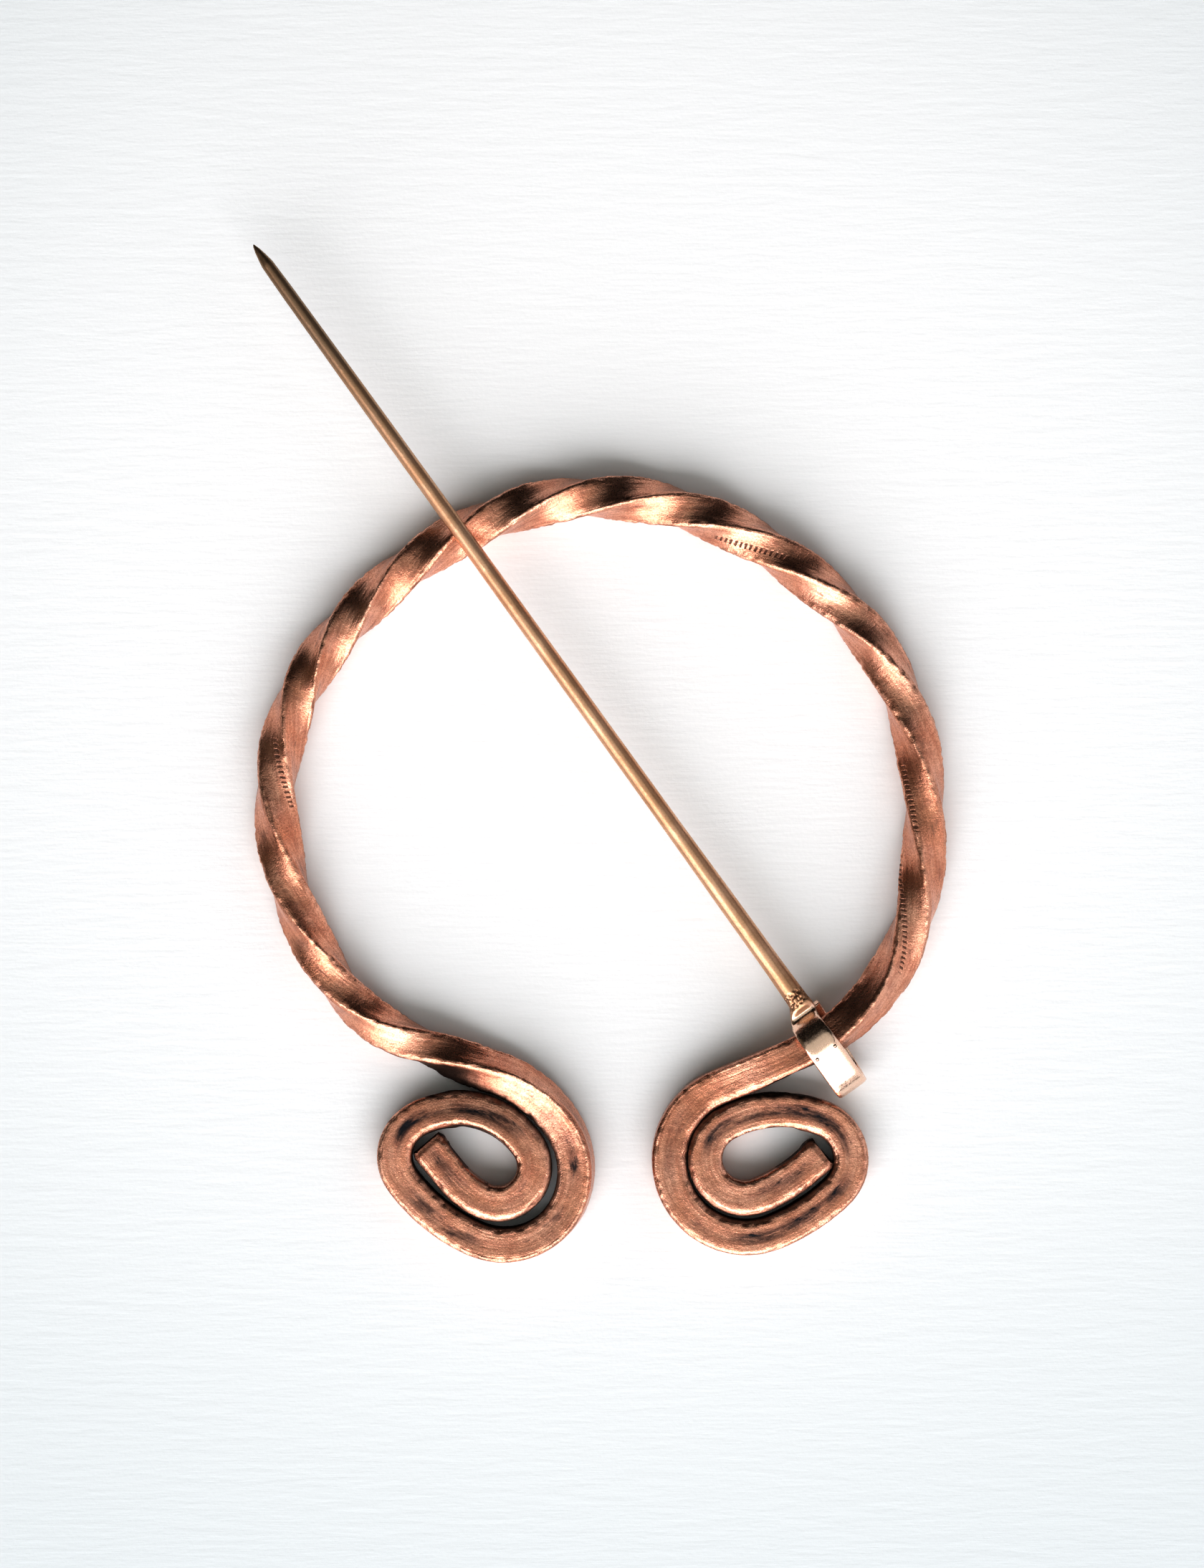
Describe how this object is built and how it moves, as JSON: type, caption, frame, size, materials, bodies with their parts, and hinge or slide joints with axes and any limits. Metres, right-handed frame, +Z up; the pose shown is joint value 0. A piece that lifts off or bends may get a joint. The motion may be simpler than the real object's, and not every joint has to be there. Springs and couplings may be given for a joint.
{
  "type": "penannular brooch",
  "caption": "Penannular brooch: a twisted square bar bent to an open ring with coiled ends, and a long round pin that swings on it by a wrapped strip loop.",
  "frame": {"origin": "On the table that the brooch lies on, under the middle of its box.", "axes": "+Z is up, away from the table, out of the brooch's face. +Y runs from the coils to the hoop's crown, the brooch's longest extent. +X is to the right seen from above with the crown at the top."},
  "size_m": [0.0604, 0.0884, 0.0061],
  "materials": {
    "copper": "satin, pinkish-brown copper with dark oxide streaks on the coils",
    "bronze": "golden-brown bronze, polished on the loop and darker towards the tip"
  },
  "bodies": {
    "ring": {"ring": "copper"},
    "pin": {"pin": "bronze"}
  },
  "joints": [
    {"name": "pin_swing", "type": "hinge", "parent": "ring", "child": "pin", "pos_m": [0.01903, -0.02498, 0.00282], "axis": [0.859, 0.512, 0], "range_deg": [0, 170]}
  ]
}
